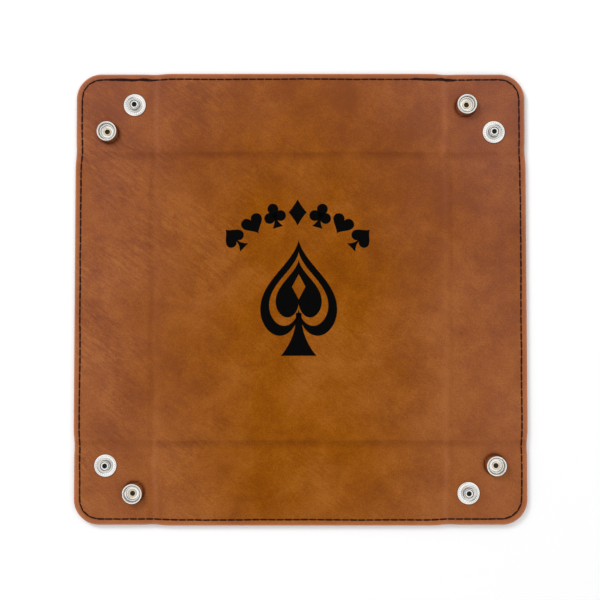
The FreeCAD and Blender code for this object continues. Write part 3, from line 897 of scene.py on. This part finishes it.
# %% Profiles of the snap parts
STUD = [(5.70, 0.02), (5.70, 0.40), (5.45, 0.66), (5.15, 0.70), (3.95, 0.62), (3.55, 0.52), (3.25, 0.22),
        (2.95, 0.14), (2.72, 0.25), (2.60, 0.60), (2.60, 1.50), (2.80, 2.05), (2.80, 2.50), (2.66, 2.90),
        (2.45, 3.00), (2.25, 2.86), (2.20, 2.30), (2.20, 0.02)]
POST = [(0, 1.10), (1.08, 1.10), (1.10, 2.20), (1.30, 2.52), (1.60, 2.60), (1.95, 2.52), (2.12, 2.20),
        (1.95, 2.00), (1.62, 1.90), (1.60, -1.98), (4.60, -1.98), (4.90, -2.20), (4.90, -2.45),
        (4.55, -2.72), (1.30, -2.72), (1.08, -2.45), (1.08, -1.40), (0, -1.40)]
SOCKET = [(3.70, 0.02), (4.05, 0.10), (4.25, 0.60), (4.35, 1.30), (4.80, 1.95), (5.05, 2.60), (5.05, 3.15),
          (4.86, 3.42), (4.60, 3.50), (4.34, 3.42), (4.18, 3.15), (4.10, 2.55), (3.96, 2.42), (3.94, 1.42),
          (3.60, 1.30), (3.35, 1.30), (3.15, 1.05), (3.10, 0.55), (2.80, 0.36), (1.70, 0.36), (1.66, 0.02)]
CAP = [(0, 0.02), (1.08, 0.02), (1.10, 0.40), (1.25, 0.74), (1.60, 0.86), (1.98, 0.80), (2.15, 0.60),
       (2.00, 0.44), (1.64, 0.40), (1.60, -1.98), (5.70, -1.98), (5.90, -2.15), (5.86, -2.45),
       (5.40, -2.70), (3.0, -2.75), (0, -2.75)]
SPRING_RADIUS, SPRING_WIRE, SPRING_HEIGHT = 3.47, 0.36, 1.95
SPRING_STEPS, WIRE_SIDES = 72, 10
FLANGE_DENTS, DENT_RADIUS, DENT_DEPTH = 29, 4.66, 0.24
NOTCH_DEPTH = 0.45
# The radii between which each part gets its painted shade finish: the nipple's root, the rim's inner side and the
# bores.
STUD_GROOVE, SOCKET_GROOVE, RIVET_BORE = (2.66, 3.02), (3.95, 4.12), (-1, 1.13)
BOTTOM = 0.2
print("profile corners:", [len(profile) for profile in (STUD, POST, SOCKET, CAP)])

# %% Dimples, notch and spring
def round_the_axis(points):
    """The radius and the angle of each point about Z."""
    return np.hypot(points[:, 0], points[:, 1]), np.arctan2(points[:, 1], points[:, 0])


def pressed_down(points, dent):
    """Points lowered by dent."""
    return points - np.column_stack([0 * dent, 0 * dent, dent])


def dimpled(points):
    """A ring of small round dents pressed into the flange: bells along the radius and along the arc."""
    radius, angle = round_the_axis(points)
    turn = angle * FLANGE_DENTS / (2 * np.pi)
    arc = (turn - np.round(turn)) * 2 * np.pi / FLANGE_DENTS * radius
    on_top = points[:, 2] > 0.4
    return pressed_down(points, DENT_DEPTH * bell(radius, DENT_RADIUS, 0.17) * bell(arc, 0, 0.19) * on_top)


def notched(points):
    """The slot in the rolled rim where the spring's end lies: a bell along the arc, at the rim's top only."""
    radius, angle = round_the_axis(points)
    at_the_rim = smooth(3.9, 4.3, radius) * smooth(2.3, 3.2, points[:, 2])
    return pressed_down(points, NOTCH_DEPTH * bell(angle, 0, 0.10) * at_the_rim)


def spring():
    """An open ring of round wire: a circle carried round 320 degrees, its ends closed by flat faces."""
    sweep = np.linspace(math.radians(20), math.radians(340), SPRING_STEPS)[:, None]
    wire = (np.arange(WIRE_SIDES) * 2 * np.pi / WIRE_SIDES)[None, :]
    radius = SPRING_RADIUS + SPRING_WIRE * np.cos(wire)
    points = np.stack([radius * np.cos(sweep), radius * np.sin(sweep),
                       SPRING_HEIGHT + SPRING_WIRE * np.sin(wire) + 0 * sweep], -1)
    faces = quads_of(SPRING_STEPS, WIRE_SIDES, close_columns=True).tolist()
    first_end = list(range(WIRE_SIDES))
    last_end = list(range(SPRING_STEPS * WIRE_SIDES - 1, (SPRING_STEPS - 1) * WIRE_SIDES - 1, -1))
    return points.reshape(-1, 3), faces + [first_end, last_end]


print("spring faces:", len(spring()[1]))

# %% Setting the snaps
def set_snap(name, points, faces, centre, turn, body, node, *finishes):
    """Turns a snap part about its axis, puts it on the flap's skin and lets it ride on its flap."""
    cosine, sine = math.cos(turn), math.sin(turn)
    x, y, z = points.T
    points = np.column_stack([centre[0] + x * cosine - y * sine, centre[1] + x * sine + y * cosine,
                              FLAP_TOP + z])
    piece = make_piece(name, points, facing_out(points - [*centre, FLAP_TOP], faces), *finishes)
    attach(piece, body)
    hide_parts(node)
    return piece


# The second finish that darken gives a snap part is painted shade.
def darken(piece, centre, low, high):
    """Gives the faces between two radii the second finish of the piece, except at its very bottom. The other
    faces under the leather get the last one."""
    middles = np.empty(3 * len(piece.data.polygons))
    piece.data.polygons.foreach_get("center", middles)
    middles = middles.reshape(-1, 3) / MM
    radius = np.hypot(middles[:, 0] - centre[0], middles[:, 1] - centre[1])
    inside = (radius > low) & (radius < high) & (middles[:, 2] > BOTTOM)
    under = (middles[:, 2] < FLAP_LOW + 0.1) & ~inside
    finish = np.where(under, len(piece.data.materials) - 1, inside)
    piece.data.polygons.foreach_set("material_index", finish.astype(np.int32))


chance = np.random.default_rng(41)
snaps = []
for quarter, corner in enumerate(CORNERS):
    turn = chance.uniform(0, 2 * np.pi, 4)
    points, faces = revolved(softened(STUD, True, 0.13), 7 * FLANGE_DENTS, True)
    stud = set_snap(f"{corner}_stud_half", dimpled(points), faces, STUDS[quarter], turn[0],
                    f"{corner}_stud_flap", f"{corner}_stud", nickel_finish, groove_shade_finish)
    darken(stud, STUDS[quarter], *STUD_GROOVE)
    points, faces = revolved(softened(POST, False), 72, False)
    post = set_snap(f"{corner}_stud_rivet", points, faces, STUDS[quarter], turn[1],
                    f"{corner}_stud_flap", f"{corner}_stud_post", nickel_finish, bore_shade_finish, nickel_finish)
    darken(post, STUDS[quarter], *RIVET_BORE)
    points, faces = revolved(softened(SOCKET, True), 160, True)
    wire, wire_faces = spring()
    wire_faces = [[number + len(points) for number in face] for face in facing_out(wire, wire_faces)]
    faces = facing_out(points, faces) + wire_faces
    socket = set_snap(f"{corner}_socket_half", np.vstack([notched(points), wire]), faces, SOCKETS[quarter],
                      turn[2], f"{corner}_socket_flap", f"{corner}_socket", nickel_finish, groove_shade_finish)
    darken(socket, SOCKETS[quarter], *SOCKET_GROOVE)
    points, faces = revolved(softened(CAP, False), 96, False)
    cap = set_snap(f"{corner}_socket_rivet", points, faces, SOCKETS[quarter], turn[3],
                   f"{corner}_socket_flap", f"{corner}_socket_cap", warm_finish, bore_shade_finish, nickel_finish)
    darken(cap, SOCKETS[quarter], *RIVET_BORE)
    snaps += [stud, post, socket, cap]
print("snap parts:", len(snaps), "faces:", sum(len(piece.data.polygons) for piece in snaps))

# %% [markdown]
# ## Corner gussets
# Where the creases cross, a real tray's leather goes on unbroken and closes the foot of the corner. Here
# each panel ends at its crease, so a small oval of the same leather lies under each crossing and belongs
# to the floor. It is thin and small, so that it is hidden under the flat tray and under the folded corner,
# where it closes most of the foot.
# %% Corner gussets
LID_RINGS = [0.1, 0.25, 0.4, 0.55, 0.7, 0.82, 0.92, 0.98, 1.0]
BASE_RINGS = [0.98, 0.5, 0.1]


def gusset(quarter, corner, long=4.6, short=4.0, outward=1.2, around=48):
    """An oval lens, long along the diagonal and moved outward on it: rings from its middle out, 0.1 mm under
    the lining's lower side, and rings back to the middle along the table."""
    share = np.array(LID_RINGS + BASE_RINGS)[:, None]
    angle = np.arange(around)[None, :] * 2 * np.pi / around
    along, aside = outward + long * share * np.cos(angle), short * share * np.sin(angle)
    x, y = CREASE + (along + aside) / math.sqrt(2), -CREASE - (along - aside) / math.sqrt(2)
    lid = np.clip(back_height(x, y) - 0.10, 0.05, 0.60) * np.sqrt(1 - 0.9 * share**8)
    upper = (np.arange(len(share)) < len(LID_RINGS))[:, None]
    points = turned(np.stack([x, y, np.where(upper, lid, 0.0)], -1).reshape(-1, 3), quarter)
    poles = np.array([points[:around].mean(0), points[-around:].mean(0)])
    faces = quads_of(len(share), around, close_columns=True).tolist()
    points, faces = with_poles(points, faces, around, poles)
    piece = make_piece(f"{corner}_gusset", points, facing_out(points - poles[1], faces), back_finish)
    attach(piece, "floor")
    return piece


gussets = [gusset(quarter, corner) for quarter, corner in enumerate(CORNERS)]
print("gussets:", len(gussets), "of", len(gussets[0].data.polygons), "faces")

# %% [markdown]
# ## The printed motif
# A black motif stands in the middle of the floor, with an arched row of small marks above it. The motif is
# a playing-card spade: a thick outline, and in it a smaller spade with a lozenge left open. The row is made
# of the four card suits, which anybody may use. Each mark is made of flat patches of ink that lie on the
# skin's own height, so it follows the leather. A patch is a grid between an inner and an outer outline, so
# an open middle costs nothing.
# %% Outlines of the marks
OUTLINE = np.linspace(0, 2 * np.pi, 121)[:-1]


def heart_outline(half_width, height):
    """The usual heart curve, 16 sin^3 t across and 13, 5, 2 and 1 cosines up, scaled to fit, point down."""
    x = np.sin(OUTLINE) ** 3
    y = (13 * np.cos(OUTLINE) - 5 * np.cos(2 * OUTLINE) - 2 * np.cos(3 * OUTLINE) - np.cos(4 * OUTLINE)) / 29
    return np.stack([half_width * x, height * y], -1)


def lozenge_outline(half_width, half_height, bow=1.0):
    """A diamond: the sine and cosine divided by the root of the sum of their powers, sides bowed by bow."""
    across, up = np.sin(OUTLINE), np.cos(OUTLINE)
    size = (abs(across) ** bow + abs(up) ** bow) ** (-1 / bow)
    return np.stack([half_width * across * size, half_height * up * size], -1)


def band(inner, outer, steps=12):
    """A patch between two outlines: points at even shares of the way from each inner point to its outer."""
    share = np.linspace(0, 1, steps)[:, None, None]
    grid = inner[None] + share * (outer - inner)[None]
    return grid.reshape(-1, 2), quads_of(steps, len(outer), close_columns=True).tolist()


def filled(outline, steps=12):
    """A patch inside an outline: a band from near its middle outwards, and triangles to the middle point."""
    core = outline.mean(0)
    points, faces = band(core + 0.08 * (outline - core), outline, steps)
    ring = np.arange(len(outline))
    fan = np.column_stack([np.full(len(outline), len(points)), ring, np.roll(ring, -1)])
    return np.vstack([points, core]), faces + fan.tolist()


def stem(top, bottom, narrow, wide, rows=24, columns=9):
    """A foot: rows down from top to bottom, the half width growing from narrow to wide by the power 2.4."""
    t = np.linspace(0, 1, rows)[:, None]
    across = np.linspace(-1, 1, columns)[None, :]
    grid = np.stack([across * (narrow + (wide - narrow) * t**2.4), top + (bottom - top) * t + 0 * across], -1)
    return grid.reshape(-1, 2), quads_of(rows, columns).tolist()


print("a heart reaches", heart_outline(1, 29).round(1).max(0), "and", heart_outline(1, 29).round(1).min(0))

# %% The card suits
def spade(size):
    """A heart turned over, on a flared foot."""
    body = filled(heart_outline(4.6, 8.2) * -size + [0, 1.2 * size])
    return [body, stem(-0.4 * size, -5.4 * size, 0.4, 2.6 * size)]


def heart(size):
    """The heart outline, filled."""
    return [filled(heart_outline(4.9, 8.6) * size + [0, 0.4 * size])]


def lozenge(size):
    """A diamond with slightly hollow sides."""
    return [filled(lozenge_outline(4.0, 5.8, 0.9) * size)]


def club(size):
    """Three round leaves on a flared foot."""
    leaf = np.stack([np.sin(OUTLINE), np.cos(OUTLINE)], -1) * 2.35 * size
    places = ((0, 2.9), (-2.45, -0.7), (2.45, -0.7))
    leaves = [filled(leaf + np.array(place) * size) for place in places]
    return leaves + [filled(leaf * 0.5), stem(0.5 * size, -5.4 * size, 0.4, 2.4 * size)]


def grand_spade():
    """The large motif: a spade's thick outline, a smaller spade in it with an open lozenge, and a foot."""
    body = heart_outline(19.4, 49.0) * -1
    inner = body * 0.60 + [0, 1.2]
    gap = lozenge_outline(3.4, 6.4) * -1 + [0, 4.6]
    return [band(body * 0.77 + [0, 0.4], body), band(gap, inner), stem(-8.6, -30.2, 1.4, 9.0)]


print("suits:", [len(shape(1.0)) for shape in (spade, heart, lozenge, club)], "patches each")

# %% Inking the marks
INK = 0.03
MOTIF_PLACE = (-0.95, 1.0)
ROW_CENTRE, ROW_RADIUS, ROW_STEP = (-1.5, -0.5), 43.8, 15.4
SUIT_SIZE = 1.16


def print_mark(name, patches, place, turn=0.0):
    """Patches turned, put in place and laid on the skin's height, as one thin film that rides with the
    floor."""
    points, faces = [], []
    cosine, sine = math.cos(turn), math.sin(turn)
    for patch, its_faces in patches:
        begun = sum(len(part) for part in points)
        patch = patch @ np.array([[cosine, sine], [-sine, cosine]]) + place
        a, b, c = patch[its_faces[0][0]], patch[its_faces[0][1]], patch[its_faces[0][2]]
        up = (b - a)[0] * (c - a)[1] - (b - a)[1] * (c - a)[0] > 0
        faces += [[begun + number for number in (face if up else face[::-1])] for face in its_faces]
        points.append(patch)
    x, y = np.vstack(points).T
    piece = make_piece(name, np.column_stack([x, y, face_height(x, y) + INK]), faces, print_finish)
    film = piece.modifiers.new("ink_thickness", "SOLIDIFY")
    film.thickness, film.offset = 2 * INK * MM, -1
    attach(piece, "floor")


print_mark("motif_spade", grand_spade(), MOTIF_PLACE)
row = (spade, heart, club, lozenge, club, heart, spade)
for number, suit in enumerate(row):
    lean = math.radians((number - (len(row) - 1) / 2) * ROW_STEP)
    place = np.array(ROW_CENTRE) + ROW_RADIUS * np.array([math.sin(lean), math.cos(lean)])
    print_mark(f"mark_{number + 1}_{suit.__name__}", suit(SUIT_SIZE), place, -lean)
print("printed", 1 + len(row), "marks")

# %% [markdown]
# ## The room, the lamp and the table
# The tray lies on a white table in a pale, evenly lit room. What shines in leather and nickel is the room
# itself, so it isn't quite even: straight overhead it is dark, as it is under a camera and the person
# behind it, and near the horizon it is dimmer, which gives the pressed metal its grey edges. Seen directly
# it is plain white. One large soft lamp from the back left draws a faint shadow on the other two sides.
# %% Room
DARK_HALF_WIDTH, DARK_HALF_LENGTH = 0.13, 0.29
room = bpy.data.worlds.new("pale_room")
bpy.context.scene.world = room
room.use_nodes = True
tree = room.node_tree
direction = add_node(tree, "ShaderNodeTexCoord").outputs["Generated"]
stretched = vector_maths(tree, "MULTIPLY", direction, (1 / DARK_HALF_WIDTH, 1 / DARK_HALF_LENGTH, 0))
from_overhead = vector_maths(tree, "LENGTH", stretched)
overhead = spread(tree, from_overhead, 0.35, 1.7, 0.05, 1.0, "SMOOTHSTEP")
up = add_node(tree, "ShaderNodeSeparateXYZ", {0: direction}).outputs["Z"]
horizon = spread(tree, up, 0.15, 0.75, 0.45, 1.18, "SMOOTHSTEP")
seen = add_node(tree, "ShaderNodeLightPath").outputs["Is Camera Ray"]
level = maths(tree, "MAXIMUM", maths(tree, "MULTIPLY", overhead, horizon), seen)
tree.links.new(level, tree.nodes["Background"].inputs["Strength"])
tree.nodes["Background"].inputs["Color"].default_value = (1, 1, 1, 1)
print("room ready")

# %% Table, lamp and camera
TABLE_HALF = 30000.0
TABLE_DROP = 0.02
LAMP_PLACE, LAMP_SIZE, LAMP_POWER = (-0.80, 0.90, 1.0), 0.5, 11.0
DISTANCE, TILT = 0.520, math.radians(1.95)
LENS, SENSOR = 61.4, 36.0
TARGET = (-0.0003, -0.0010, 0.001)
table_finish = plain_finish("white_table", (0.835, 0.835, 0.835), 1.0, 0, (0.1, 0.0), 0.0, 0.0)
corners = np.array([[-1, -1], [1, -1], [1, 1], [-1, 1]]) * TABLE_HALF
table = make_piece("table", np.column_stack([corners, np.full(4, -TABLE_DROP)]), [[0, 1, 2, 3]], table_finish)


def aimed(thing, place, target):
    """Puts a lamp or a camera at a place and turns it to face a target, with the back of the tray upwards."""
    thing.location = place
    thing.rotation_euler = (Vector(target) - Vector(place)).to_track_quat("-Z", "Y").to_euler()
    bpy.context.scene.collection.objects.link(thing)
    return thing


lamp = aimed(bpy.data.objects.new("soft_lamp", bpy.data.lights.new("soft_lamp", "AREA")),
             LAMP_PLACE, (0, 0, 0))
lamp.data.shape, lamp.data.size, lamp.data.energy = "DISK", LAMP_SIZE, LAMP_POWER
lamp.visible_glossy = False
eye = (TARGET[0], TARGET[1] - DISTANCE * math.sin(TILT), DISTANCE * math.cos(TILT))
camera = aimed(bpy.data.objects.new("camera", bpy.data.cameras.new("camera")), eye, TARGET)
camera.data.lens, camera.data.sensor_width = LENS, SENSOR
bpy.context.scene.camera = camera
bpy.context.scene.view_settings.view_transform = "Standard"
print("camera at", [round(v, 4) for v in camera.location])
